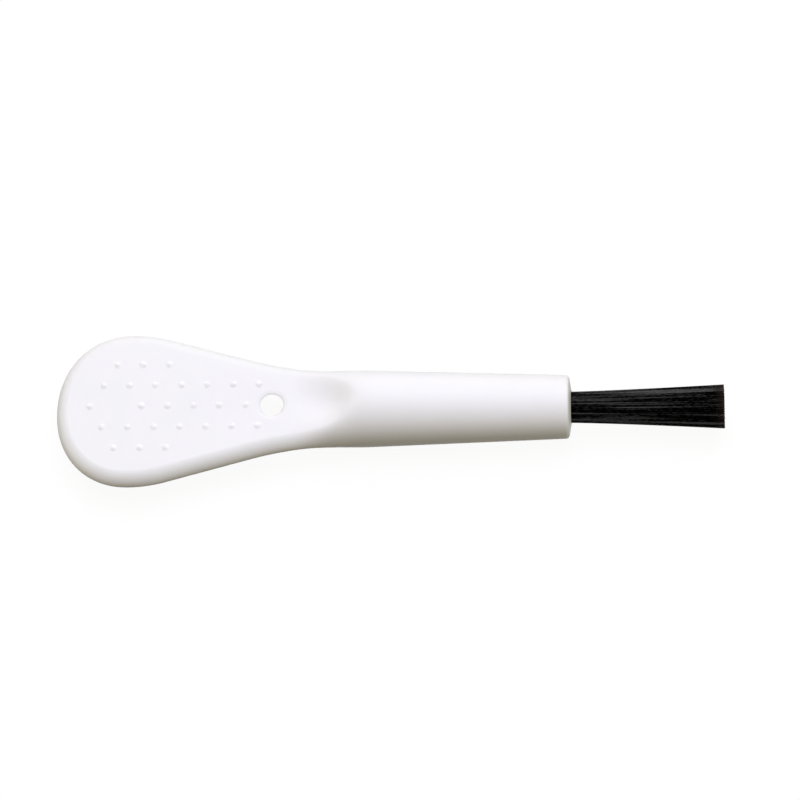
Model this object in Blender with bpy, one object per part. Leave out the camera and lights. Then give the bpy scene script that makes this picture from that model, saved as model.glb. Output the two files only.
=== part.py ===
# Earbud cleaning brush: a moulded handle with a flat paddle and a round barrel, a nylon tuft in a
# bore at the barrel's end, and the flat metal anchor that the tuft is folded over.
# Lengths are in metres. Shapes are drawn from the paddle's nose along X, with the barrel's axis at
# height zero, and an empty then lifts them so that the tool stands on the ground, centred.
from math import acos, asin, atan2, cos, pi, radians, sin, sqrt, tan

import bmesh
import bpy
from mathutils import Matrix, Vector
from mathutils.geometry import delaunay_2d_cdt

# Paddle, seen from above
PADDLE_WIDTH = 0.01766
NOSE_TO_WIDEST = 0.008
NOSE_SQUARENESS_SHARE = 2.12  # exponent of the nose's curve, 2 is an ellipse
SHOULDER_RADIUS = 0.0147
PADDLE_THICKNESS = 0.0028
PADDLE_EDGE_WIDTH = 0.00138
PADDLE_EDGE_SQUARENESS_SHARE = 1.7  # exponent of the rounded edge's section, 2 is a quarter ellipse

# Neck, ramp and barrel
HANDLE_LENGTH = 0.0553
NOSE_TO_NECK = 0.0257
NECK_RADIUS = 0.00439
NECK_FILLET_RADIUS = 0.04
BARREL_END_RADIUS = 0.0034
BARREL_EDGE_RADIUS = 0.0004
BARREL_END_CROWN = 0.0003  # rise of the end's slight cone to its point, which the bore removes

# Ramp from the paddle up to the barrel. The scoop share is the part of a rise that is concave, and
# the rest is its round brow. The round sides widen later than the ramp rises, and between them lies
# a shallow hollow that has faded out again before the brow.
NOSE_TO_RAMP = 0.02548
RAMP_LENGTH = 0.00866
RAMP_SCOOP_SHARE = 0.722
NOSE_TO_WIDER_SIDES = 0.02866
WIDER_SIDES_LENGTH = 0.00518
WIDER_SIDES_SCOOP_SHARE = 0.681
NOSE_TO_HOLLOW = 0.02447
HOLLOW_TO_DEEPEST = 0.00505
DEEPEST_TO_HOLLOW_END = 0.00273
HOLLOW_DEPTH = 0.000595

# Through hole, narrowest just under its broad, shallow upper edge and wider towards the back
NOSE_TO_HOLE = 0.0234
HOLE_RADIUS = 0.0013
HOLE_EDGE_WIDTH = 0.00042
HOLE_EDGE_SLOPE = radians(24)  # of the upper edge where it ends at the narrowest place
HOLE_BACK_EDGE_RADIUS = 0.0003
HOLE_DRAFT = radians(24.5)

# Grip pips on the upper face, in staggered rows: columns are counted from the nose's first pip
# (0) to the hole (14), rows from the axis
NOSE_TO_FIRST_PIP = 0.003715
PIP_ROW_PITCH = 0.002435
PIP_RADIUS = 0.00045
PIP_HEIGHT = 0.00021
HOLE_COLUMN = 14
PIP_COLUMNS_BY_ROW = {
    -2: (2, 4, 6),
    -1: (1, 3, 5, 7, 9, 11, 13),
    0: (0, 4, 6, 8, 10, 12),
    1: (1, 3, 5, 7, 9, 11, 13),
    2: (2, 4, 6),
}

# Tuft of nylon filaments
TUFT_ROOT_RADIUS = 0.0017
TUFT_TIP_RADIUS = 0.00235
TUFT_REACH = 0.0165  # how far the tips stand out of the barrel
STRAND_WIDTH = 0.00012
STRAND_GAP = 0.000028
STRAND_SIDES = 3
RING_TURN_SHARE = 0.382  # of a full turn, from one ring of filaments to the next
STRAND_TURN_SHARE = 0.618  # of a full turn, from one filament's corners to the next one's

# Bore, the tuft's folded root in it and the anchor through the fold
BORE_DEPTH = 0.0062
FOLD_LENGTH = 0.0036
FOLD_UNDER_ANCHOR = 0.0008
ANCHOR_HEIGHT = 0.0014
ANCHOR_THICKNESS = 0.0003
ANCHOR_BITE_SHARE = 0.35  # of the wall beside the bore
ANCHOR_EDGE_RADIUS = 0.00006

# Clearance between pieces that touch, how far a cutter runs past what it cuts, and how near to each
# other points count as one
FIT_GAP = 0.0003
CUT_OVERRUN = 0.001
EDGE_OVERRUN = 0.000005
POINT_SPACING = 0.000003

# How finely round shapes are divided
NOSE_STEPS = 10
SHOULDER_STEPS = 4
FILLET_STEPS = 4
RAMP_STEPS = 15
BARREL_STEPS = 3
EDGE_STEPS = 8  # in a quarter turn of the handle's round side
ACROSS_STEPS = 10
BORE_SIDES = 32
PIP_SIDES = 12
PIP_RINGS = 14
SMOOTH_ANGLE = radians(35)

# Colour, roughness and metallic value of each material
PLASTIC_LOOK = ((0.87, 0.86, 0.90, 1.0), 0.42, 0.0)
NYLON_LOOK = ((0.012, 0.011, 0.011, 1.0), 0.38, 0.0)
ANCHOR_LOOK = ((0.75, 0.60, 0.32, 1.0), 0.3, 1.0)

# Sizes that follow from those above
PADDLE_HALF_WIDTH = PADDLE_WIDTH / 2
PADDLE_HALF_THICKNESS = PADDLE_THICKNESS / 2
PIP_COLUMN_PITCH = (NOSE_TO_HOLE - NOSE_TO_FIRST_PIP) / HOLE_COLUMN
BARREL_START = NOSE_TO_RAMP + RAMP_LENGTH
HOLLOW_DEEPEST = NOSE_TO_HOLLOW + HOLLOW_TO_DEEPEST
OVERALL_LENGTH = HANDLE_LENGTH + TUFT_REACH
BORE_RADIUS = TUFT_ROOT_RADIUS + FIT_GAP
BORE_BOTTOM = HANDLE_LENGTH - BORE_DEPTH
FOLD_BOTTOM = BORE_BOTTOM + FIT_GAP
FOLD_TOP = FOLD_BOTTOM + FOLD_LENGTH
ANCHOR_BOTTOM = FOLD_BOTTOM + FOLD_UNDER_ANCHOR
ANCHOR_HALF_LENGTH = BORE_RADIUS + ANCHOR_BITE_SHARE * (BARREL_END_RADIUS - BORE_RADIUS)
STRAND_PITCH = STRAND_WIDTH + STRAND_GAP


# Plan outline of the handle

def flank_and_fillet():
    """The straight flank's angle to the axis, the barrel's taper, and the neck fillet that joins them."""
    corner = Vector((NOSE_TO_NECK, NECK_RADIUS))
    shoulder_centre = Vector((NOSE_TO_WIDEST, PADDLE_HALF_WIDTH - SHOULDER_RADIUS))
    away = corner - shoulder_centre
    flank = atan2(away.x, away.y) - acos(SHOULDER_RADIUS / away.length)
    taper = atan2(NECK_RADIUS - BARREL_END_RADIUS, HANDLE_LENGTH - NOSE_TO_NECK)
    tangent_length = NECK_FILLET_RADIUS * tan((flank - taper) / 2)
    fillet_start = corner.x - tangent_length * cos(flank)
    fillet_end = corner.x + tangent_length * cos(taper)
    fillet_centre = Vector((
        fillet_start + NECK_FILLET_RADIUS * sin(flank),
        corner.y + tangent_length * sin(flank) + NECK_FILLET_RADIUS * cos(flank),
    ))
    return flank, taper, fillet_start, fillet_end, fillet_centre


FLANK, TAPER, FILLET_START, FILLET_END, FILLET_CENTRE = flank_and_fillet()
SHOULDER_END = NOSE_TO_WIDEST + SHOULDER_RADIUS * sin(FLANK)


def half_width(x):
    """Half the plan width behind the widest place."""
    if x <= SHOULDER_END:
        along = x - NOSE_TO_WIDEST
        return PADDLE_HALF_WIDTH - SHOULDER_RADIUS + sqrt(SHOULDER_RADIUS ** 2 - along ** 2)
    if x <= FILLET_START:
        return NECK_RADIUS + (NOSE_TO_NECK - x) * tan(FLANK)
    if x <= FILLET_END:
        return FILLET_CENTRE.y - sqrt(NECK_FILLET_RADIUS ** 2 - (x - FILLET_CENTRE.x) ** 2)
    return NECK_RADIUS - (x - NOSE_TO_NECK) * tan(TAPER)


def section_angle(x):
    """How far the round side's section is turned from square to the axis, to face out of the outline."""
    if x <= SHOULDER_END:
        return asin((x - NOSE_TO_WIDEST) / SHOULDER_RADIUS)
    if x <= FILLET_START:
        return FLANK
    if x <= FILLET_END:
        return FLANK * (FILLET_END - x) / (FILLET_END - FILLET_START)
    return 0


def risen_share(x, start, length, scoop_share):
    """From 0 at the start of a rise, first concave and then over its round brow, to 1 at its end."""
    along = min(max((x - start) / length, 0), 1)
    if along < scoop_share:
        return along ** 2 / scoop_share
    return 1 - (1 - along) ** 2 / (1 - scoop_share)


def blended(first, last, share):
    return first + (last - first) * share


def hollow_depth(x):
    """How far the ramp's middle lies below its sides."""
    side_length = HOLLOW_TO_DEEPEST if x < HOLLOW_DEEPEST else DEEPEST_TO_HOLLOW_END
    away = min(abs(x - HOLLOW_DEEPEST) / side_length, 1)
    return HOLLOW_DEPTH * (1 + cos(pi * away)) / 2


def nose_stations():
    """From the nose's tip to the widest place, along a slightly squared ellipse."""
    edge = (PADDLE_EDGE_WIDTH, PADDLE_EDGE_SQUARENESS_SHARE, PADDLE_HALF_THICKNESS)
    power = 2 / NOSE_SQUARENESS_SHARE
    for step in range(NOSE_STEPS):
        turn = step / NOSE_STEPS * pi / 2
        ahead = cos(turn)
        beside = sin(turn)
        place = Vector((
            NOSE_TO_WIDEST * (1 - ahead ** power),
            PADDLE_HALF_WIDTH * beside ** power,
        ))
        outward = Vector((
            -(ahead ** (2 - power)) / NOSE_TO_WIDEST,
            beside ** (2 - power) / PADDLE_HALF_WIDTH,
        ))
        yield place, outward.normalized(), edge, PADDLE_HALF_THICKNESS


def steps_between(start, end, count):
    return [start + (end - start) * step / count for step in range(count)]


def body_stations():
    """From the widest place to the barrel's end, closer together where the outline bends."""
    places = steps_between(NOSE_TO_WIDEST, SHOULDER_END, SHOULDER_STEPS)
    places += steps_between(SHOULDER_END, FILLET_START, SHOULDER_STEPS)
    places += steps_between(FILLET_START, FILLET_END, FILLET_STEPS)
    places += steps_between(NOSE_TO_HOLLOW, BARREL_START, RAMP_STEPS)
    places += steps_between(BARREL_START, HANDLE_LENGTH, BARREL_STEPS)
    places.append(HANDLE_LENGTH)
    for x in sorted(places):
        angle = section_angle(x)
        outward = Vector((sin(angle), cos(angle)))
        ramp = risen_share(x, NOSE_TO_RAMP, RAMP_LENGTH, RAMP_SCOOP_SHARE)
        height = blended(PADDLE_HALF_THICKNESS, half_width(x), ramp)
        wider = risen_share(x, NOSE_TO_WIDER_SIDES, WIDER_SIDES_LENGTH, WIDER_SIDES_SCOOP_SHARE)
        rounding = blended(PADDLE_EDGE_WIDTH, half_width(x), wider)
        squareness = blended(PADDLE_EDGE_SQUARENESS_SHARE, 2, wider)
        edge = (rounding, squareness, height)
        yield Vector((x, half_width(x))), outward, edge, height - hollow_depth(x)


# Mesh helpers

def add_object(name, bm, placement):
    """A mesh object from the bmesh, smooth on round faces, under the empty that places the tool."""
    bmesh.ops.recalc_face_normals(bm, faces=bm.faces)
    mesh = bpy.data.meshes.new(name)
    bm.to_mesh(mesh)
    bm.free()
    mesh.shade_smooth()
    mesh.set_sharp_from_angle(angle=SMOOTH_ANGLE)
    obj = bpy.data.objects.new(name, mesh)
    bpy.context.scene.collection.objects.link(obj)
    obj.parent = placement
    return obj


def as_cutter(obj):
    obj.hide_render = True
    obj.display_type = "WIRE"
    return obj


def add_boolean(obj, other, operation):
    modifier = obj.modifiers.new(other.name, "BOOLEAN")
    modifier.operation = operation
    modifier.solver = "EXACT"
    modifier.object = other


def set_material(obj, name, look):
    colour, roughness, metallic = look
    material = bpy.data.materials.new(name)
    material.use_nodes = True
    shader = material.node_tree.nodes["Principled BSDF"]
    shader.inputs["Base Color"].default_value = colour
    shader.inputs["Roughness"].default_value = roughness
    shader.inputs["Metallic"].default_value = metallic
    material.diffuse_color = colour
    obj.data.materials.append(material)


def turned(bm, profile, sides, axis):
    """Turns a profile of (radius, height) pairs, given from one end of the axis to the other."""
    across = Vector((0, 1, 0)) if axis.x else Vector((1, 0, 0))
    verts = [bm.verts.new(across * radius + axis * height) for radius, height in profile]
    edges = [bm.edges.new(pair) for pair in zip(verts, verts[1:])]
    bmesh.ops.spin(
        bm,
        geom=verts + edges,
        cent=Vector(),
        axis=axis,
        angle=2 * pi,
        steps=sides,
        use_merge=True,
    )
    bmesh.ops.remove_doubles(bm, verts=bm.verts, dist=POINT_SPACING)


def add_box(name, low, high, placement):
    bm = bmesh.new()
    size = high - low
    fit = Matrix.Translation((low + high) / 2) @ Matrix.Diagonal(size.to_4d())
    bmesh.ops.create_cube(bm, size=1, matrix=fit)
    return add_object(name, bm, placement)


# Handle

def section_ring(bm, place, outward, edge, middle):
    """One closed section: both sides round, and a top and bottom that dip to the middle height."""
    rounding, squareness, height = edge
    power = 2 / squareness
    upper = []
    for step in range(EDGE_STEPS + 1):
        turn = step / EDGE_STEPS * pi / 2
        inset = place - outward * rounding * (1 - abs(cos(turn)) ** power)
        upper.append(Vector((inset.x, inset.y, height * sin(turn) ** power)))
    lower = [Vector((point.x, point.y, -point.z)) for point in reversed(upper[1:])]
    side = lower + upper
    mirrored = [Vector((point.x, -point.y, point.z)) for point in reversed(side)]
    crest = side[-1]
    top = []
    for step in range(1, ACROSS_STEPS):
        across = 1 - 2 * step / ACROSS_STEPS
        dip = (height - middle) * (1 + cos(pi * across)) / 2
        top.append(Vector((crest.x, crest.y * across, height - dip)))
    bottom = [Vector((point.x, -point.y, -point.z)) for point in top]
    return [bm.verts.new(point) for point in side + top + mirrored + bottom]


def end_face(bm):
    return max(bm.faces, key=lambda face: face.calc_center_median().x)


def make_handle_body(placement):
    """Lofts the sections from the nose to the barrel's end, which is rounded off and slightly raised."""
    bm = bmesh.new()
    rings = [section_ring(bm, *station) for station in (*nose_stations(), *body_stations())]
    for ring, following in zip(rings, rings[1:]):
        for i in range(len(ring)):
            bm.faces.new((ring[i - 1], ring[i], following[i], following[i - 1]))
    bm.faces.new(rings[-1])
    bmesh.ops.remove_doubles(bm, verts=bm.verts, dist=POINT_SPACING)
    bmesh.ops.bevel(
        bm,
        geom=end_face(bm).edges,
        offset=BARREL_EDGE_RADIUS,
        segments=3,
        profile=0.5,
        affect="EDGES",
        clamp_overlap=True,
    )
    bmesh.ops.poke(bm, faces=[end_face(bm)], offset=BARREL_END_CROWN)
    return add_object("handle", bm, placement)


def hole_profile():
    """From the back edge up the widening wall to the upper edge, as (radius, height) pairs."""
    back = HOLE_BACK_EDGE_RADIUS
    face_height = PADDLE_HALF_THICKNESS + EDGE_OVERRUN
    edge_radius = HOLE_EDGE_WIDTH / sin(HOLE_EDGE_SLOPE)
    upper_height = face_height - edge_radius * (1 - cos(HOLE_EDGE_SLOPE))
    back_height = back - PADDLE_HALF_THICKNESS - EDGE_OVERRUN
    wall_end_height = back_height - back * sin(HOLE_DRAFT)
    wall_end_radius = HOLE_RADIUS + tan(HOLE_DRAFT) * (upper_height - wall_end_height)
    back_centre = wall_end_radius + back * cos(HOLE_DRAFT)
    profile = []
    for step in range(EDGE_STEPS + 1):
        turn = HOLE_DRAFT + (pi / 2 - HOLE_DRAFT) * (1 - step / EDGE_STEPS)
        profile.append((back_centre - back * cos(turn), back_height - back * sin(turn)))
    for step in range(EDGE_STEPS + 1):
        turn = HOLE_EDGE_SLOPE * (1 - step / EDGE_STEPS)
        out = HOLE_EDGE_WIDTH - edge_radius * sin(turn)
        profile.append((HOLE_RADIUS + out, face_height - edge_radius * (1 - cos(turn))))
    return profile


def make_hole_cutter(placement):
    """The hole's profile turned round its axis, with a straight stem past each face."""
    bm = bmesh.new()
    curve = hole_profile()
    bottom = (curve[0][0], curve[0][1] - CUT_OVERRUN)
    top = (curve[-1][0], curve[-1][1] + CUT_OVERRUN)
    profile = [(0, bottom[1]), bottom, *curve, top, (0, top[1])]
    turned(bm, profile, BORE_SIDES, Vector((0, 0, 1)))
    bmesh.ops.translate(bm, verts=bm.verts, vec=Vector((NOSE_TO_HOLE, 0, 0)))
    return as_cutter(add_object("hole_cutter", bm, placement))


def make_pips(placement):
    """Low domes, each the cap of a ball whose lower part is sunk in the paddle."""
    bm = bmesh.new()
    ball = (PIP_RADIUS ** 2 + PIP_HEIGHT ** 2) / (2 * PIP_HEIGHT)
    centre_height = PADDLE_HALF_THICKNESS + PIP_HEIGHT - ball
    for row, columns in PIP_COLUMNS_BY_ROW.items():
        for column in columns:
            centre = Vector((
                NOSE_TO_FIRST_PIP + column * PIP_COLUMN_PITCH,
                row * PIP_ROW_PITCH,
                centre_height,
            ))
            bmesh.ops.create_uvsphere(
                bm,
                u_segments=PIP_SIDES,
                v_segments=PIP_RINGS,
                radius=ball,
                matrix=Matrix.Translation(centre),
            )
    return as_cutter(add_object("pips", bm, placement))


def make_bore_cutter(placement):
    bm = bmesh.new()
    mouth = HANDLE_LENGTH + CUT_OVERRUN
    profile = [(0, BORE_BOTTOM), (BORE_RADIUS, BORE_BOTTOM), (BORE_RADIUS, mouth), (0, mouth)]
    turned(bm, profile, BORE_SIDES, Vector((1, 0, 0)))
    return as_cutter(add_object("bore_cutter", bm, placement))


def anchor_box(margin):
    """The anchor's corners, grown by a margin on every side."""
    half = Vector((0, ANCHOR_HALF_LENGTH + margin, ANCHOR_THICKNESS / 2 + margin))
    low = Vector((ANCHOR_BOTTOM - margin, 0, 0)) - half
    high = Vector((ANCHOR_BOTTOM + ANCHOR_HEIGHT + margin, 0, 0)) + half
    return low, high


def make_handle(placement):
    handle = make_handle_body(placement)
    add_boolean(handle, make_pips(placement), "UNION")
    add_boolean(handle, make_hole_cutter(placement), "DIFFERENCE")
    add_boolean(handle, make_bore_cutter(placement), "DIFFERENCE")
    slots = as_cutter(add_box("anchor_slots", *anchor_box(FIT_GAP), placement))
    add_boolean(handle, slots, "DIFFERENCE")
    set_material(handle, "handle_plastic", PLASTIC_LOOK)


# Tuft

def strand_centres():
    """One filament at the middle and six more in each ring round it, each ring turned a little."""
    centres = [Vector((0, 0))]
    rings = int((TUFT_ROOT_RADIUS - STRAND_WIDTH / 2) / STRAND_PITCH)
    for ring in range(1, rings + 1):
        count = 6 * ring
        for i in range(count):
            turn = 2 * pi * (i / count + ring * RING_TURN_SHARE)
            centres.append(Vector((cos(turn), sin(turn))) * ring * STRAND_PITCH)
    return centres


def fold_face(bm):
    """The fold's round top face at the bore's height, with each filament's foot as a face of its own."""
    points = []
    faces = [list(range(BORE_SIDES))]
    for i in range(BORE_SIDES):
        turn = 2 * pi * i / BORE_SIDES
        points.append(Vector((cos(turn), sin(turn))) * TUFT_ROOT_RADIUS)
    for number, centre in enumerate(strand_centres()):
        faces.append([len(points) + i for i in range(STRAND_SIDES)])
        for i in range(STRAND_SIDES):
            turn = 2 * pi * (i / STRAND_SIDES + number * STRAND_TURN_SHARE)
            points.append(centre + Vector((cos(turn), sin(turn))) * STRAND_WIDTH / 2)
    flat, _, cells, _, _, sources = delaunay_2d_cdt(points, [], faces, 1, 0.0, True)
    verts = [bm.verts.new((FOLD_TOP, point.x, point.y)) for point in flat]
    feet = []
    for cell, source in zip(cells, sources):
        face = bm.faces.new([verts[i] for i in cell])
        if len(source) > 1:
            feet.append(face)
    return feet


def make_tuft(placement):
    """The folded root as a round slug, with the filaments standing on it and fanning to their tips."""
    bm = bmesh.new()
    feet = fold_face(bm)
    rim = [edge for edge in bm.edges if edge.is_boundary]
    wall = bmesh.ops.extrude_edge_only(bm, edges=rim)["geom"]
    wall_verts = [item for item in wall if isinstance(item, bmesh.types.BMVert)]
    bmesh.ops.translate(bm, verts=wall_verts, vec=Vector((-FOLD_LENGTH, 0, 0)))
    bmesh.ops.holes_fill(bm, edges=[item for item in wall if isinstance(item, bmesh.types.BMEdge)], sides=0)
    fan = TUFT_TIP_RADIUS / TUFT_ROOT_RADIUS
    for tip in bmesh.ops.extrude_discrete_faces(bm, faces=feet)["faces"]:
        middle = tip.calc_center_median()
        spread = Vector((0, middle.y, middle.z)) * (fan - 1)
        rise = Vector((OVERALL_LENGTH - FOLD_TOP, 0, 0))
        bmesh.ops.translate(bm, verts=tip.verts, vec=rise + spread)
    tuft = add_object("bristle_tuft", bm, placement)
    low, high = anchor_box(FIT_GAP)
    window = as_cutter(add_box("anchor_window", low, high, placement))
    add_boolean(tuft, window, "DIFFERENCE")
    set_material(tuft, "bristle_nylon", NYLON_LOOK)


# Anchor

def make_anchor(placement):
    """A flat punched plate across the bore, with its edges slightly rounded."""
    anchor = add_box("anchor", *anchor_box(0), placement)
    bevel = anchor.modifiers.new("punched_edges", "BEVEL")
    bevel.width = ANCHOR_EDGE_RADIUS
    bevel.segments = 2
    set_material(anchor, "anchor_brass", ANCHOR_LOOK)


def main():
    for obj in list(bpy.data.objects):
        bpy.data.objects.remove(obj)
    placement = bpy.data.objects.new("placement", None)
    bpy.context.scene.collection.objects.link(placement)
    axis_height = max(height for _, _, (_, _, height), _ in body_stations())
    placement.location = (-OVERALL_LENGTH / 2, 0, axis_height)
    make_handle(placement)
    make_tuft(placement)
    make_anchor(placement)


main()
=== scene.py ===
from math import acos, asin, atan2, copysign, cos, pi, radians, sin, sqrt, tan
from random import Random

import bmesh
import bpy
from mathutils import Matrix, Vector, noise


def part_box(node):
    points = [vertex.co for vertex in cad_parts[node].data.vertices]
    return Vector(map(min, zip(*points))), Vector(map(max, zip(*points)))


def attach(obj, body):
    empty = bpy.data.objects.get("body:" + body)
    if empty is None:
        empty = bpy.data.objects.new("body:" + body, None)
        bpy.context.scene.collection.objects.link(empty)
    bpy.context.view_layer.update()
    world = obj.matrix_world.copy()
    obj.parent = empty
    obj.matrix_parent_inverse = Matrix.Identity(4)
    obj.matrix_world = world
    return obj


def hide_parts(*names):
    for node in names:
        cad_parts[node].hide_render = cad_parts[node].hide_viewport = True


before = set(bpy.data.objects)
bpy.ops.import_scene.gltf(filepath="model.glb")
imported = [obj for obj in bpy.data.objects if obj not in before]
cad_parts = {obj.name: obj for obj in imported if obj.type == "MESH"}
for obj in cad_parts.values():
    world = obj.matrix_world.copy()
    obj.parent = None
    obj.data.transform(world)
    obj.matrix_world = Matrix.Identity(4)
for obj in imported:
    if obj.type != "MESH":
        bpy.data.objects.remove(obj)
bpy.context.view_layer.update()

# Shapes are worked out in millimetres from the paddle's nose along the barrel's axis, and put in
# their place in metres at the very end.
mm = 0.001
near = 0.001   # mm, points closer than this count as one
axisX, axisZ = Vector((1, 0, 0)), Vector((0, 0, 1))
handleLow, handleHigh = (Vector(corner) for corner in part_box("handle"))
noseAt = Vector((handleLow.x, 0, (handleLow.z + handleHigh.z) / 2))


def putInPlace(bm):
    bmesh.ops.scale(bm, vec=(mm, mm, mm), verts=bm.verts)
    bmesh.ops.translate(bm, vec=noseAt, verts=bm.verts)


def finishPiece(bm, name, material, node):
    mesh = bpy.data.meshes.new(name)
    bm.to_mesh(mesh)
    bm.free()
    mesh.shade_smooth()
    mesh.materials.append(material)
    piece = bpy.data.objects.new(name, mesh)
    bpy.context.scene.collection.objects.link(piece)
    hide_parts(node)
    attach(piece, "root")
    print("made", name, len(mesh.polygons), "faces")


# Camera first: the photograph's own view, with the barrel running nearly level across the frame
view = {
    "azimuth": 10.62,      # degrees round from straight in front
    "elevation": 65.88,    # degrees above the table
    "roll": -10.3,         # degrees
    "distance": 0.4472,    # metres from the tool's middle
    "lens": 187.5,
    "middlePixel": (388.75, 408.72),   # where the tool's middle falls in the frame
    "frame": 800,                      # pixels on a side
    "clipStart": 0.01,
}


def aimCamera():
    turn, rise, roll = (radians(view[name]) for name in ("azimuth", "elevation", "roll"))
    back = Vector((sin(turn) * cos(rise), -cos(turn) * cos(rise), sin(rise)))
    level = axisZ.cross(back).normalized()
    upright = back.cross(level)
    right = level * cos(roll) + upright * sin(roll)
    up = upright * cos(roll) - level * sin(roll)
    data = bpy.data.cameras.new("photoCamera")
    camera = bpy.data.objects.new("photoCamera", data)
    bpy.context.scene.collection.objects.link(camera)
    axes = Matrix((right, up, back)).transposed().to_4x4()
    middle = Vector((0, 0, noseAt.z))
    camera.matrix_world = Matrix.Translation(middle + back * view["distance"]) @ axes
    data.lens = view["lens"]
    half = view["frame"] / 2
    data.shift_x = (half - view["middlePixel"][0]) / view["frame"]
    data.shift_y = (view["middlePixel"][1] - half) / view["frame"]
    data.clip_start = view["clipStart"]
    bpy.context.scene.camera = camera


aimCamera()
print("camera aimed")


# Materials

def hexToLinear(code):
    # sRGB hex, as a colour picker gives it, to the linear values that the shader takes
    parts = [int(code[i:i + 2], 16) / 255 for i in (1, 3, 5)]
    return tuple(p / 12.92 if p <= 0.04045 else ((p + 0.055) / 1.055) ** 2.4 for p in parts) + (1.0,)


def addNode(tree, kind, settings=None, links=None):
    # settings name either the node's own options or its sockets, links lead from other sockets
    node = tree.nodes.new(kind)
    for name, value in (settings or {}).items():
        if isinstance(name, str) and hasattr(node, name):
            setattr(node, name, value)
        else:
            node.inputs[name].default_value = value
    for name, source in (links or {}).items():
        tree.links.new(source, node.inputs[name])
    return node


def mixColours(tree, share, first, last):
    # from the first colour to the last; each is a hex code or another node's colour socket
    mix = addNode(tree, "ShaderNodeMix", {"data_type": "RGBA"}, {0: share})
    for socket, colour in ((mix.inputs[6], first), (mix.inputs[7], last)):   # A and B for colours
        if isinstance(colour, str):
            socket.default_value = hexToLinear(colour)
        else:
            tree.links.new(colour, socket)
    return mix.outputs[2]


def spreadOut(tree, value, low, high):
    # a pattern's value from 0 to 1, spread from low to high
    spread = addNode(tree, "ShaderNodeMapRange", {"To Min": low, "To Max": high}, {"Value": value})
    return spread.outputs["Result"]


def noiseOf(tree, place, size, **settings):
    # a noise whose features come out about this many millimetres big
    settings["Scale"] = 1 / (size * mm)
    return addNode(tree, "ShaderNodeTexNoise", settings, {"Vector": place}).outputs["Fac"]


def stretchedAlong(tree, place, width, length):
    # the place, pressed together along the barrel so that a pattern this wide comes out this long
    pressed = {"Scale": (width / length, 1, 1)}
    return addNode(tree, "ShaderNodeMapping", pressed, {"Vector": place}).outputs["Vector"]


def newMaterial(name, fixed):
    # fixed names the shader's sockets that hold one value all over the surface
    material = bpy.data.materials.new(name)
    material.use_nodes = True
    tree = material.node_tree
    shader = tree.nodes["Principled BSDF"]
    for socket, value in fixed.items():
        shader.inputs[socket].default_value = value
    place = addNode(tree, "ShaderNodeTexCoord").outputs["Object"]
    return material, tree, shader.inputs, place


def mouldedPolypropylene():
    # White polypropylene, injection moulded against a fine spark-eroded tool: it looks satin, softly
    # lit through at thin edges, with a faint cloudiness where the melt flowed
    plastic = {
        "colour": "#f5f3fa", "cloud": "#f0eff4", "cloudSize": 4.0, "grainSize": 0.09,
        "grainHeight": 0.0022, "roughness": (0.42, 0.52),
    }
    material, tree, sockets, place = newMaterial("mouldedPolypropylene", {
        "IOR": 1.49, "Specular IOR Level": 0.22, "Subsurface Weight": 0.12,
        "Subsurface Radius": (1.0, 0.95, 0.85), "Subsurface Scale": 0.6 * mm,
    })
    flow = noiseOf(tree, place, plastic["cloudSize"], Detail=3.0, Roughness=0.5)
    tree.links.new(mixColours(tree, flow, plastic["colour"], plastic["cloud"]), sockets["Base Color"])
    grain = noiseOf(tree, place, plastic["grainSize"], Detail=2.0, Roughness=0.6)
    tree.links.new(spreadOut(tree, grain, *plastic["roughness"]), sockets["Roughness"])
    relief = {"Strength": 0.5, "Distance": plastic["grainHeight"] * mm}
    bump = addNode(tree, "ShaderNodeBump", relief, {"Height": grain})
    tree.links.new(bump.outputs["Normal"], sockets["Normal"])
    return material


def extrudedNylon():
    # Black nylon 6 filament, extruded and drawn: each filament has its own gloss, and its colour is
    # lightened along thin lengthwise streaks as a painted glint, so the tuft shows thin lengthwise glints,
    # and the cut tips look slightly brown where light goes through
    nylon = {
        # dark to light is each filament's random tone, and the light end is also a painted glint
        "dark": "#020202", "light": "#1d1c1b", "tip": "#2b201b",
        "roughness": (0.5, 0.28), "gloss": (0.0, 0.3),
        "glintFleckWidth": 0.13, "glintFleckLength": 0.4, "glintFleckStrength": 1.3,
        "tipStart": 0.93, "tipStrength": 0.6,   # share of the filament's length, share of the tip's colour
    }
    material, tree, sockets, place = newMaterial("extrudedNylon", {"IOR": 1.53})
    strand = addNode(tree, "ShaderNodeAttribute", {"attribute_name": "filamentToneAndGlint"}).outputs["Fac"]
    # short flecks break the painted glints up along each filament, in colour as well as in gloss
    drawn = stretchedAlong(tree, place, nylon["glintFleckWidth"], nylon["glintFleckLength"])
    glintFlecks = noiseOf(tree, drawn, nylon["glintFleckWidth"], Detail=1.0)
    swing = spreadOut(tree, glintFlecks, -nylon["glintFleckStrength"] / 2, nylon["glintFleckStrength"] / 2)
    added = addNode(tree, "ShaderNodeMath", {"operation": "ADD", "use_clamp": True}, {0: strand, 1: swing})
    tone = added.outputs[0]
    along = addNode(tree, "ShaderNodeAttribute", {"attribute_name": "alongFilament"}).outputs["Fac"]
    reach = {"From Min": nylon["tipStart"], "From Max": 1.0, "To Max": nylon["tipStrength"]}
    tipShare = addNode(tree, "ShaderNodeMapRange", reach, {"Value": along}).outputs["Result"]
    # the colour lightens with the tone: painted glint streaks, beside the real change in roughness and
    # gloss
    body = mixColours(tree, tone, nylon["dark"], nylon["light"])
    tree.links.new(mixColours(tree, tipShare, body, nylon["tip"]), sockets["Base Color"])
    tree.links.new(spreadOut(tree, tone, *nylon["roughness"]), sockets["Roughness"])
    tree.links.new(spreadOut(tree, tone, *nylon["gloss"]), sockets["Specular IOR Level"])
    return material


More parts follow.
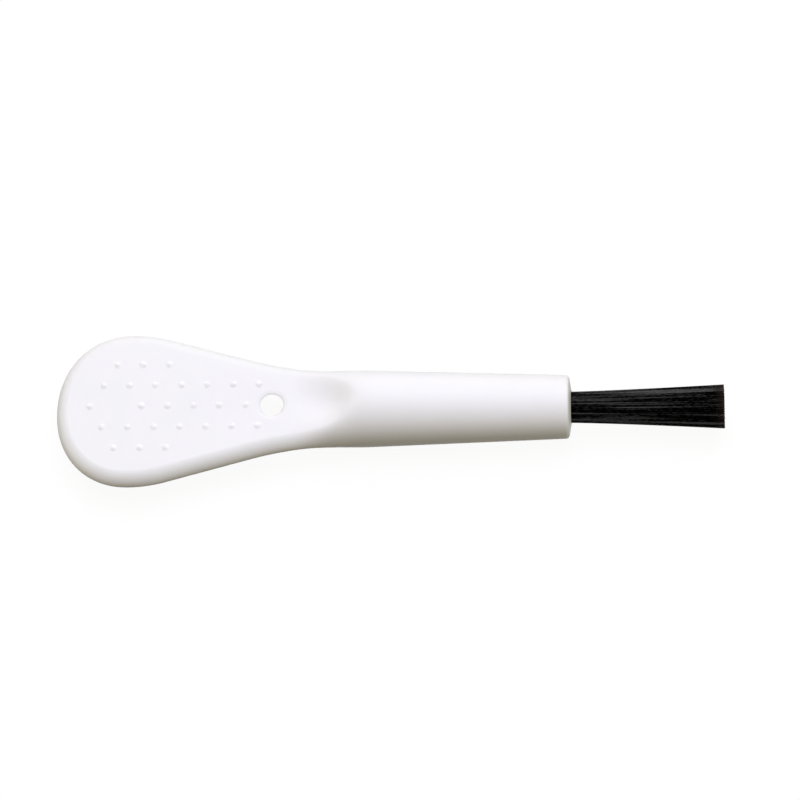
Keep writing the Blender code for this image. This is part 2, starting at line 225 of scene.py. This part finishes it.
def punchedBrass():
    # Bright brass strip, rolled and then punched: yellow, with fine lines along the rolling direction
    brass = {
        "colour": "#d8b56a", "line": "#b48f4c", "lineWidth": 0.05, "lineLength": 1.5,
        "roughness": (0.22, 0.4),
    }
    material, tree, sockets, place = newMaterial("punchedBrass", {"Metallic": 1.0})
    rolled = stretchedAlong(tree, place, brass["lineWidth"], brass["lineLength"])
    lines = noiseOf(tree, rolled, brass["lineWidth"], Detail=2.0)
    tree.links.new(mixColours(tree, lines, brass["colour"], brass["line"]), sockets["Base Color"])
    tree.links.new(spreadOut(tree, lines, *brass["roughness"]), sockets["Roughness"])
    return material


plasticMaterial = mouldedPolypropylene()
nylonMaterial = extrudedNylon()
brassMaterial = punchedBrass()
print("materials mixed")


# Handle: one white moulding

handle = {
    "length": 55.3,
    "paddleWidth": 17.66, "paddleThickness": 2.8,
    "edgeWidth": 1.38, "edgeSquareness": 1.7,   # exponent of the rounded edge's section, 2 is an ellipse
    "noseToWidest": 8.0, "noseSquareness": 2.12, "shoulderRadius": 14.7,
    "noseToNeck": 25.7, "neckRadius": 4.39, "neckFillet": 40.0,
    "endRadius": 3.4, "endEdge": 0.4, "endCrown": 0.19,   # rise of the end from its edge to the bore
    "ramp": (25.48, 34.14, 0.722), "widerSides": (28.66, 33.84, 0.681),   # start, end, concave share
    "hollow": (24.47, 29.52, 32.25), "hollowDepth": 0.595,                # start, deepest place, end
    "noseSteps": 24, "paddleSteps": 26, "rampSteps": 40, "barrelSteps": 12,
    "quarterSteps": 16, "acrossSteps": 20, "endEdgeSteps": 6, "weld": 0.002,
}
# The hole sits in a window of the handle's grid, which starts and ends at whole columns of it
cordHole = {
    "middle": 23.4, "radius": 1.28, "edgeWidth": 0.56, "edgeSlope": radians(28),
    "backEdge": 0.3, "draft": radians(24.5), "lip": 0.1, "steps": 8, "blendSteps": 6,
    "windowStart": 20.2, "windowEnd": 26.6, "windowSteps": 16, "windowShare": 0.9,
}
bore = {"radius": 1.78, "edge": 0.1, "depth": 6.2, "edgeSteps": 4}
halfSlab = handle["paddleThickness"] / 2


def neckLines():
    # the straight flank touches the shoulder's circle and meets the barrel's side in a wide fillet
    corner = Vector((handle["noseToNeck"], handle["neckRadius"]))
    shoulder = Vector((handle["noseToWidest"], handle["paddleWidth"] / 2 - handle["shoulderRadius"]))
    away = corner - shoulder
    flank = atan2(away.x, away.y) - acos(handle["shoulderRadius"] / away.length)
    taper = atan2(handle["neckRadius"] - handle["endRadius"], handle["length"] - handle["noseToNeck"])
    reach = handle["neckFillet"] * tan((flank - taper) / 2)
    start = corner.x - reach * cos(flank)
    end = corner.x + reach * cos(taper)
    centre = Vector((start, corner.y + reach * sin(flank)))
    centre += Vector((sin(flank), cos(flank))) * handle["neckFillet"]
    return flank, taper, start, end, centre


flank, taper, filletStart, filletEnd, filletCentre = neckLines()
shoulderEnd = handle["noseToWidest"] + handle["shoulderRadius"] * sin(flank)


def halfWidth(x):
    if x <= shoulderEnd:
        radius = handle["shoulderRadius"]
        return handle["paddleWidth"] / 2 - radius + sqrt(radius ** 2 - (x - handle["noseToWidest"]) ** 2)
    if x <= filletStart:
        return handle["neckRadius"] + (handle["noseToNeck"] - x) * tan(flank)
    if x <= filletEnd:
        return filletCentre.y - sqrt(handle["neckFillet"] ** 2 - (x - filletCentre.x) ** 2)
    return handle["neckRadius"] - (x - handle["noseToNeck"]) * tan(taper)


def outwardTurn(x):
    if x <= shoulderEnd:
        return asin((x - handle["noseToWidest"]) / handle["shoulderRadius"])
    if x <= filletStart:
        return flank
    return max(flank * (filletEnd - x) / (filletEnd - filletStart), 0)


def risenShare(x, start, end, scoop):
    # from 0 through a concave rise and a round brow to 1
    along = min(max((x - start) / (end - start), 0), 1)
    return along ** 2 / scoop if along < scoop else 1 - (1 - along) ** 2 / (1 - scoop)


def blended(first, last, share):
    return first + (last - first) * share


def crestHeight(x):
    return blended(halfSlab, halfWidth(x), risenShare(x, *handle["ramp"]))


def sideWidth(x):
    return blended(handle["edgeWidth"], halfWidth(x), risenShare(x, *handle["widerSides"]))


def hollowAt(x):
    start, deepest, end = handle["hollow"]
    away = (deepest - x) / (deepest - start) if x < deepest else (x - deepest) / (end - deepest)
    return handle["hollowDepth"] * (1 + cos(pi * min(away, 1))) / 2


def sectionAt(station):
    # stations from -1 to 0 go round the nose, and above that they are mm past the widest place
    if station < 0:
        turn = (1 + station) * pi / 2
        power = 2 / handle["noseSquareness"]
        place = Vector((
            handle["noseToWidest"] * (1 - cos(turn) ** power),
            handle["paddleWidth"] / 2 * sin(turn) ** power,
        ))
        outward = Vector((
            -(cos(turn) ** (2 - power)) / handle["noseToWidest"],
            sin(turn) ** (2 - power) * 2 / handle["paddleWidth"],
        )).normalized()
        return place, outward, handle["edgeWidth"], handle["edgeSquareness"], halfSlab, 0
    x = handle["noseToWidest"] + station
    turn = outwardTurn(x)
    place, outward = Vector((x, halfWidth(x))), Vector((sin(turn), cos(turn)))
    squareness = blended(handle["edgeSquareness"], 2, risenShare(x, *handle["widerSides"]))
    return place, outward, sideWidth(x), squareness, crestHeight(x), hollowAt(x)


def faceHeight(x, y):
    # height of the face between its two crests, over the axis
    crest = max(halfWidth(x) - sideWidth(x), 0.01)   # never nothing, because y is divided by it
    return crestHeight(x) - hollowAt(x) * (1 + cos(pi * min(abs(y) / crest, 1))) / 2


def steps(start, end, count):
    return [start + (end - start) * i / count for i in range(count)]


def handleStations():
    widest = handle["noseToWidest"]
    windowStart, windowEnd = cordHole["windowStart"] - widest, cordHole["windowEnd"] - widest
    barrelStart, barrelEnd = handle["widerSides"][1] - widest, handle["length"] - widest
    stations = steps(-1, 0, handle["noseSteps"])
    stations += steps(0, windowStart, handle["paddleSteps"])
    stations += steps(windowStart, windowEnd, cordHole["windowSteps"])
    stations += steps(windowEnd, barrelStart, handle["rampSteps"])
    stations += steps(barrelStart, barrelEnd, handle["barrelSteps"])
    return stations + [barrelEnd]


def pointOnSection(section, number):
    # numbers run up the +Y side, over the top, down the -Y side and back underneath
    place, outward, rounding, squareness, height, hollow = section
    half = 2 * handle["quarterSteps"]
    over = handle["acrossSteps"]
    if number > half + over + half:
        point = pointOnSection(section, number - half - over)
        return Vector((point.x, -point.y, -point.z))
    if number > half and number < half + over:
        across = 1 - 2 * (number - half) / over
        crest = place - outward * rounding
        return Vector((crest.x, crest.y * across, height - hollow * (1 + cos(pi * across)) / 2))
    onFarSide = number >= half + over
    turn = (1.5 * half + over - number if onFarSide else number - half / 2) / half * pi
    power = 2 / squareness
    inset = place - outward * rounding * (1 - abs(cos(turn)) ** power)
    rise = height * copysign(abs(sin(turn)) ** power, turn)
    return Vector((inset.x, -inset.y if onFarSide else inset.y, rise))


def openEdges(bm, test):
    return [edge for edge in bm.edges if edge.is_boundary and all(test(vert.co) for vert in edge.verts)]


def spinProfile(bm, points, centre, axis, count):
    verts = [bm.verts.new(point) for point in points]
    edges = [bm.edges.new(pair) for pair in zip(verts, verts[1:])]
    bmesh.ops.spin(
        bm, geom=verts + edges, cent=centre, axis=axis, angle=2 * pi, steps=count, use_merge=True,
    )


def wrapGridRoundHandle(bm):
    # a flat grid is wrapped into the skin, with a window left open in its top and its underside
    stations = handleStations()
    along = len(stations) - 1
    half = 2 * handle["quarterSteps"]
    around = 2 * (half + handle["acrossSteps"])
    bmesh.ops.create_grid(bm, x_segments=along, y_segments=around, size=0.5)
    firstColumn = stations.index(cordHole["windowStart"] - handle["noseToWidest"])
    columns = range(firstColumn, firstColumn + cordHole["windowSteps"])
    margin = round(handle["acrossSteps"] * (1 - cordHole["windowShare"]) / 2)
    topRows = range(half + margin, half + handle["acrossSteps"] - margin)
    window = []
    for face in bm.faces:
        middle = face.calc_center_median()
        column = int((middle.x + 0.5) * along)
        row = int((middle.y + 0.5) * around)
        if column in columns and (row in topRows or row - around // 2 in topRows):
            window.append(face)
    bmesh.ops.delete(bm, geom=window, context="FACES")
    sections = [sectionAt(station) for station in stations]
    for vert in bm.verts:
        column = round((vert.co.x + 0.5) * along)
        row = round((vert.co.y + 0.5) * around)
        vert.co = pointOnSection(sections[column], row)
    bmesh.ops.remove_doubles(bm, verts=bm.verts, dist=handle["weld"])


def holeWall():
    # from the lip on the face down the shallow upper edge to the waist, then out to the back
    width, slope = cordHole["edgeWidth"], cordHole["edgeSlope"]
    back, draft = cordHole["backEdge"], cordHole["draft"]
    arc = width / sin(slope)
    waistAt = halfSlab - arc * (1 - cos(slope))
    wallEnd = -halfSlab + back * (1 - sin(draft))
    backAt = cordHole["radius"] + tan(draft) * (waistAt - wallEnd) + back * cos(draft)
    profile = [(cordHole["radius"] + width + cordHole["lip"], halfSlab)]
    for i in range(cordHole["steps"] + 1):
        turn = slope * i / cordHole["steps"]
        profile.append((cordHole["radius"] + width - arc * sin(turn), halfSlab - arc * (1 - cos(turn))))
    for i in range(cordHole["steps"] + 1):
        turn = draft + (pi / 2 - draft) * i / cordHole["steps"]
        profile.append((backAt - back * cos(turn), -halfSlab + back * (1 - sin(turn))))
    profile.append((backAt + cordHole["lip"], -halfSlab))
    return [Vector((cordHole["middle"] + radius, 0, height)) for radius, height in profile]


def windowEdges(bm, side):
    # the skin is open at this side's window, and also at the barrel's end
    return openEdges(bm, lambda co: co.z * side > 0 and co.x < handle["length"] / 2)


def rimEdges(bm, middle, point):
    # the wall's open end at this point of its profile
    reach = point.x - middle.x + near
    return openEdges(bm, lambda co: abs(co.z - point.z) < near and (co - middle).xy.length < reach)


def joinHole(bm):
    # the wall is turned in the windows, and each face runs on from the skin to the wall's rim
    middle = Vector((cordHole["middle"], 0, 0))
    count = 2 * (cordHole["windowSteps"] + round(handle["acrossSteps"] * cordHole["windowShare"]))
    windows = [windowEdges(bm, side) for side in (1, -1)]
    wall = holeWall()
    skin = set(bm.verts)
    spinProfile(bm, wall, middle, axisZ, count)
    rims = [rimEdges(bm, middle, point) for point in (wall[0], wall[-1])]
    for vert in bm.verts:
        if vert not in skin:
            vert.co.z *= faceHeight(vert.co.x, vert.co.y) / halfSlab
    for window, rim, side in zip(windows, rims, (1, -1)):
        rimVerts = {vert for edge in rim for vert in edge.verts}
        joined = bmesh.ops.bridge_loops(bm, edges=window + rim)
        fresh = {edge for face in joined["faces"] for edge in face.edges}
        spokes = [
            edge for edge in bm.edges
            if edge in fresh and (edge.verts[0] in rimVerts) != (edge.verts[1] in rimVerts)
        ]
        made = bmesh.ops.subdivide_edges(bm, edges=spokes, cuts=cordHole["blendSteps"], use_grid_fill=True)
        for vert in made["geom_inner"]:
            if isinstance(vert, bmesh.types.BMVert):
                vert.co.z = side * faceHeight(vert.co.x, vert.co.y)


def roundEndAndBore(bm):
    # the barrel's flat end gets its rounded edge, and then the bore for the tuft
    length = handle["length"]
    rim = openEdges(bm, lambda co: co.x > length - near)
    bmesh.ops.holes_fill(bm, edges=rim, sides=0)
    bmesh.ops.bevel(
        bm, geom=rim, offset=handle["endEdge"], offset_type="OFFSET", segments=handle["endEdgeSteps"],
        profile=0.5, affect="EDGES", material=-1, clamp_overlap=True,
    )
    endFace = max(bm.faces, key=lambda face: face.calc_area())
    ring = list(endFace.edges)
    bmesh.ops.delete(bm, geom=[endFace], context="FACES_ONLY")
    radius, edge = bore["radius"], bore["edge"]
    mouthAt = length + handle["endCrown"]
    profile = []
    for i in range(bore["edgeSteps"] + 1):
        turn = pi / 2 * (1 - i / bore["edgeSteps"])
        profile.append(Vector((mouthAt - edge * (1 - sin(turn)), radius + edge * (1 - cos(turn)), 0)))
    bottom = length - bore["depth"]
    profile += [Vector((bottom, radius, 0)), Vector((bottom, 0, 0))]
    spinProfile(bm, profile, Vector(), axisX, len(ring))
    mouth = openEdges(bm, lambda co: co.x > mouthAt - near)
    bmesh.ops.bridge_loops(bm, edges=ring + mouth)


# Grip pips: staggered rows of small steep domes. Columns are counted from the nose's first pip, and
# rows from the axis.
oddColumns, evenColumns = (1, 3, 5, 7, 9, 11, 13), (2, 4, 6)
gripPips = {
    "first": 3.715, "columnPitch": 1.40607, "rowPitch": 2.435,
    "radius": 0.46, "height": 0.18, "sunk": 0.003, "root": 0.1, "sides": 24, "rings": 10,
    "columns": {-2: evenColumns, -1: oddColumns, 0: (0, 4, 6, 8, 10, 12), 1: oddColumns, 2: evenColumns},
    "level": 0.9999,   # how straight up the paddle's face looks at least, as its normal's height
}


def pipProfile():
    # a steep swelling that runs out softly on to the face, on a plug that sinks into the paddle
    profile = []
    for i in range(gripPips["rings"] + 1):
        share = i / gripPips["rings"]
        rise = gripPips["height"] * (1 - share ** 2) ** 2 - gripPips["sunk"]
        profile.append(Vector((gripPips["radius"] * share, 0, rise)))
    profile.append(Vector((gripPips["radius"], 0, -gripPips["root"])))
    profile.append(Vector((0, 0, -gripPips["root"])))
    return profile


def addPips(bm):
    for row, columns in gripPips["columns"].items():
        for column in columns:
            along = gripPips["first"] + column * gripPips["columnPitch"]
            centre = Vector((along, row * gripPips["rowPitch"], halfSlab))
            points = [centre + point for point in pipProfile()]
            spinProfile(bm, points, centre, axisZ, gripPips["sides"])
    bmesh.ops.remove_doubles(bm, verts=bm.verts, dist=near)
    bmesh.ops.recalc_face_normals(bm, faces=bm.faces)


def unitedMesh(bodies):
    # the first closed body with the others grown into it
    pieces = []
    for bm in bodies:
        mesh = bpy.data.meshes.new("unfinished")
        bm.to_mesh(mesh)
        bm.free()
        pieces.append(bpy.data.objects.new("unfinished", mesh))
        bpy.context.scene.collection.objects.link(pieces[-1])
    for other in pieces[1:]:
        union = pieces[0].modifiers.new("union", "BOOLEAN")
        union.operation, union.solver, union.object = "UNION", "EXACT", other
    whole = bmesh.new()
    whole.from_object(pieces[0], bpy.context.evaluated_depsgraph_get())
    for piece in pieces:
        bpy.data.meshes.remove(piece.data)
    return whole


def keepFaceFlatRoundPips(bm):
    # the paddle's face is shaded flat right up to each pip's rim, but not round the hole
    for edge in bm.edges:
        onFace = all(abs(vert.co.z - halfSlab) < near for vert in edge.verts)
        flatSides = [face.normal.z > gripPips["level"] for face in edge.link_faces]
        beforeHole = edge.verts[0].co.x <= cordHole["windowStart"]
        if onFace and beforeHole and any(flatSides) and not all(flatSides):
            edge.smooth = False


def makeHandle():
    body, pips = bmesh.new(), bmesh.new()
    wrapGridRoundHandle(body)
    joinHole(body)
    roundEndAndBore(body)
    bmesh.ops.recalc_face_normals(body, faces=body.faces)
    addPips(pips)
    bm = unitedMesh([body, pips])
    keepFaceFlatRoundPips(bm)
    putInPlace(bm)
    finishPiece(bm, "mouldedHandle", plasticMaterial, "handle")


makeHandle()


# Tuft: drawn nylon filaments, folded over the anchor in the bore, fanning a little to their cut tips

tuft = {
    "rings": 11, "inFirstRing": 6, "ringTurn": 0.382,   # turns from one ring's start to the next one's
    "rootRadius": 1.67, "filament": 0.145, "sides": 6, "lengthSteps": 12,
    "root": 52.8, "reach": 16.5, "fan": 0.4, "fanPower": 1.27, "drop": 0.05, "lean": 0.07,
    "scatter": 0.02, "tipScatter": 0.03, "tipScatterPower": 1.5,
    "cutScatter": 0.08, "cutSlant": 0.02, "cutBehind": -0.03,
    "clumpSize": 0.55, "clumpPull": 0.09,
    "tone": 0.35, "toneSwing": 1.15, "toneScatter": 0.12, "toneContrast": 1.4,
    "glintWidth": 0.26, "glintLength": 9.0, "seed": 11,
}
# The fold under the filaments is one turned slug, which the filaments' lower ends stand in
tuftFold = {
    "overlap": 0.2, "inset": 0.02, "gap": 0.3, "sides": 32,
    "profile": ((0.9, 1), (0.3, 0.85), (0, 0.4), (0, 0)),   # mm from the fold's bottom, share of radius
}


def filamentPattern():
    # one straight filament a millimetre long, to be stretched and bent
    bm = bmesh.new()
    bmesh.ops.create_circle(bm, segments=tuft["sides"], radius=tuft["filament"] / 2)
    bmesh.ops.rotate(bm, verts=bm.verts, cent=Vector(), matrix=Matrix.Rotation(pi / 2, 3, "Y"))
    front = list(bm.edges)
    bmesh.ops.holes_fill(bm, edges=front, sides=0)
    for _ in range(tuft["lengthSteps"]):
        made = bmesh.ops.extrude_edge_only(bm, edges=front)["geom"]
        verts = [item for item in made if isinstance(item, bmesh.types.BMVert)]
        edges = [item for item in made if isinstance(item, bmesh.types.BMEdge)]
        bmesh.ops.translate(bm, vec=axisX / tuft["lengthSteps"], verts=verts)
        front = [edge for edge in edges if all(vert in verts for vert in edge.verts)]
    bmesh.ops.holes_fill(bm, edges=front, sides=0)
    bmesh.ops.recalc_face_normals(bm, faces=bm.faces)
    pattern = bpy.data.meshes.new("filamentPattern")
    bm.to_mesh(pattern)
    bm.free()
    return pattern


def filamentRoots(chance):
    # one at the middle and rings round it, all but the last ring a little scattered
    pitch = (tuft["rootRadius"] - tuft["filament"] / 2) / tuft["rings"]
    roots = [Vector((0, 0, 0))]
    for ring in range(1, tuft["rings"] + 1):
        count = tuft["inFirstRing"] * ring
        for i in range(count):
            turn = 2 * pi * (i / count + ring * tuft["ringTurn"])
            spot = Vector((0, cos(turn), sin(turn))) * ring * pitch
            if ring < tuft["rings"]:
                spot += Vector((0, chance.gauss(0, 1), chance.gauss(0, 1))) * tuft["scatter"]
            roots.append(spot)
    return roots


def bendFilament(verts, root, chance, tone):
    # filaments near each other bend the same way, so that the tuft parts into clumps towards its tips
    mouth = handle["length"]
    end = mouth + tuft["reach"] - tuft["cutBehind"] - root.y * tuft["cutSlant"]
    end -= chance.random() * tuft["cutScatter"]
    stray = Vector((0, chance.gauss(0, 1), chance.gauss(0, 1))) * tuft["tipScatter"]
    pull = noise.noise_vector(root / tuft["clumpSize"]) * tuft["clumpPull"]
    shade = chance.gauss(0, tuft["toneScatter"])
    for vert in verts:
        x = tuft["root"] + (end - tuft["root"]) * vert.co.x
        out = max((x - mouth) / tuft["reach"], 0)
        middle = root * (1 + tuft["fan"] * out ** tuft["fanPower"])
        middle += stray * out ** tuft["tipScatterPower"] + Vector((0, pull.y, pull.z)) * out
        middle.y -= tuft["drop"] + tuft["lean"] * out
        # the tone follows lengthwise glint streaks: it lightens the colour as a painted glint and raises
        # the real gloss
        spot = Vector((x / tuft["glintLength"], root.y / tuft["glintWidth"], root.z / tuft["glintWidth"]))
        level = tuft["tone"] + tuft["toneSwing"] * noise.noise(spot) + shade
        vert[tone] = min(max(level, 0), 1) ** tuft["toneContrast"]
        vert.co = Vector((x, middle.y + vert.co.y, middle.z + vert.co.z))


def addFold(bm):
    radius = tuft["rootRadius"]
    bottom = handle["length"] - bore["depth"] + tuftFold["gap"]
    top = tuft["root"] + tuftFold["overlap"]
    profile = [
        Vector((top, 0, 0)),
        Vector((top, radius - tuftFold["inset"], 0)),
        Vector((tuft["root"], radius, 0)),
    ]
    profile += [Vector((bottom + behind, radius * share, 0)) for behind, share in tuftFold["profile"]]
    before = set(bm.verts)
    spinProfile(bm, profile, Vector(), axisX, tuftFold["sides"])
    foldVerts = [vert for vert in bm.verts if vert not in before]
    bmesh.ops.remove_doubles(bm, verts=foldVerts, dist=near)
    foldFaces = [face for face in bm.faces if all(vert not in before for vert in face.verts)]
    bmesh.ops.recalc_face_normals(bm, faces=foldFaces)


def makeTuft():
    chance = Random(tuft["seed"])
    noise.seed_set(tuft["seed"])   # without it the clumps would differ from run to run
    pattern = filamentPattern()
    bm = bmesh.new()
    tone = bm.verts.layers.float.new("filamentToneAndGlint")
    along = bm.verts.layers.float.new("alongFilament")
    for root in filamentRoots(chance):
        known = len(bm.verts)
        bm.from_mesh(pattern)
        bm.verts.ensure_lookup_table()
        added = bm.verts[known:]
        twist = Matrix.Rotation(chance.random() * pi, 3, "X")
        bmesh.ops.rotate(bm, verts=added, cent=Vector(), matrix=twist)
        for vert in added:
            vert[along] = vert.co.x
        bendFilament(added, root, chance, tone)
    bpy.data.meshes.remove(pattern)
    addFold(bm)
    putInPlace(bm)
    finishPiece(bm, "nylonTuft", nylonMaterial, "bristle_tuft")


makeTuft()


# The anchor keeps its CAD solid and gets its own metal
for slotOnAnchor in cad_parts["anchor"].material_slots:
    slotOnAnchor.material = brassMaterial
print("anchor finished")


# Floor, backdrop and light

studio = {
    "skyLight": (0.345, 0.303, 0.181, 1), "floorBounce": (0.02, 0.02, 0.02, 1),
    "white": (1, 1, 1, 1), "paper": (0.9, 0.9, 0.9, 1), "floorSize": 1.5,
    "paperShare": 0.08, "floorGlow": 1.02,   # the paper's share is what takes the object's shadow
}
softboxes = {
    "overhead": {
        "direction": (0.07, 0.231, 0.97), "distance": 0.42, "size": 0.4,
        "power": 1.79, "colour": (0.788, 0.84, 1.0),
    },
    "behind": {
        "direction": (0.1, 0.972, 0.21), "distance": 0.42, "size": 0.16,
        "power": 0.29, "colour": (1.0, 0.97, 0.714),
    },
    "atBristles": {
        "direction": (0.99, -0.08, 0.1), "distance": 0.42, "size": 0.08,
        "power": 0.22, "colour": (0.9, 1.0, 0.76),
    },
    "atNose": {
        "direction": (-0.99, 0, 0.1), "distance": 0.42, "size": 0.08,
        "power": 0.17, "colour": (1.0, 0.99, 0.72),
    },
}


def seenOrLighting(tree, seen, lighting):
    # one shader for what the camera, a reflection or a look through glass meets, and the other for
    # light on its way to the object
    path = addNode(tree, "ShaderNodeLightPath").outputs
    larger = {"operation": "MAXIMUM"}
    ray = addNode(tree, "ShaderNodeMath", larger, {0: path["Is Camera Ray"], 1: path["Is Glossy Ray"]})
    ray = addNode(tree, "ShaderNodeMath", larger, {0: ray.outputs[0], 1: path["Is Transmission Ray"]})
    links = {0: ray.outputs[0], 1: lighting.outputs[0], 2: seen.outputs[0]}
    return addNode(tree, "ShaderNodeMixShader", {}, links).outputs[0]


def layFloor():
    bm = bmesh.new()
    bmesh.ops.create_grid(bm, x_segments=1, y_segments=1, size=studio["floorSize"])
    mesh = bpy.data.meshes.new("studioFloor")
    bm.to_mesh(mesh)
    bm.free()
    material = bpy.data.materials.new("whitePaperSweep")
    material.use_nodes = True
    tree = material.node_tree
    tree.nodes.clear()
    paper = addNode(tree, "ShaderNodeBsdfDiffuse", {"Color": studio["paper"]})
    glow = addNode(tree, "ShaderNodeEmission", {"Color": studio["white"], "Strength": studio["floorGlow"]})
    share = {0: studio["paperShare"]}
    shown = addNode(tree, "ShaderNodeMixShader", share, {1: glow.outputs[0], 2: paper.outputs[0]})
    dim = addNode(tree, "ShaderNodeBsdfDiffuse", {"Color": studio["floorBounce"]})
    addNode(tree, "ShaderNodeOutputMaterial", {}, {"Surface": seenOrLighting(tree, shown, dim)})
    mesh.materials.append(material)
    floor = bpy.data.objects.new("studioFloor", mesh)
    bpy.context.scene.collection.objects.link(floor)


def hangSoftbox(name, box):
    light = bpy.data.lights.new(name, "AREA")
    light.shape = "SQUARE"
    light.size = box["size"]
    light.energy = box["power"]
    light.color = box["colour"]
    lamp = bpy.data.objects.new(name, light)
    bpy.context.scene.collection.objects.link(lamp)
    direction = Vector(box["direction"]).normalized()
    lamp.location = direction * box["distance"]
    lamp.rotation_euler = direction.to_track_quat("Z", "Y").to_euler()


def paintWorld():
    world = bpy.data.worlds.new("studioWorld")
    world.use_nodes = True
    tree = world.node_tree
    tree.nodes.clear()
    sky = addNode(tree, "ShaderNodeBackground", {"Color": studio["skyLight"], "Strength": 1.0})
    white = addNode(tree, "ShaderNodeBackground", {"Color": studio["white"], "Strength": 1.0})
    addNode(tree, "ShaderNodeOutputWorld", {}, {"Surface": seenOrLighting(tree, white, sky)})
    bpy.context.scene.world = world


layFloor()
for boxName, box in softboxes.items():
    hangSoftbox(boxName, box)
paintWorld()
bpy.context.scene.view_settings.view_transform = "Standard"
print("studio lit")
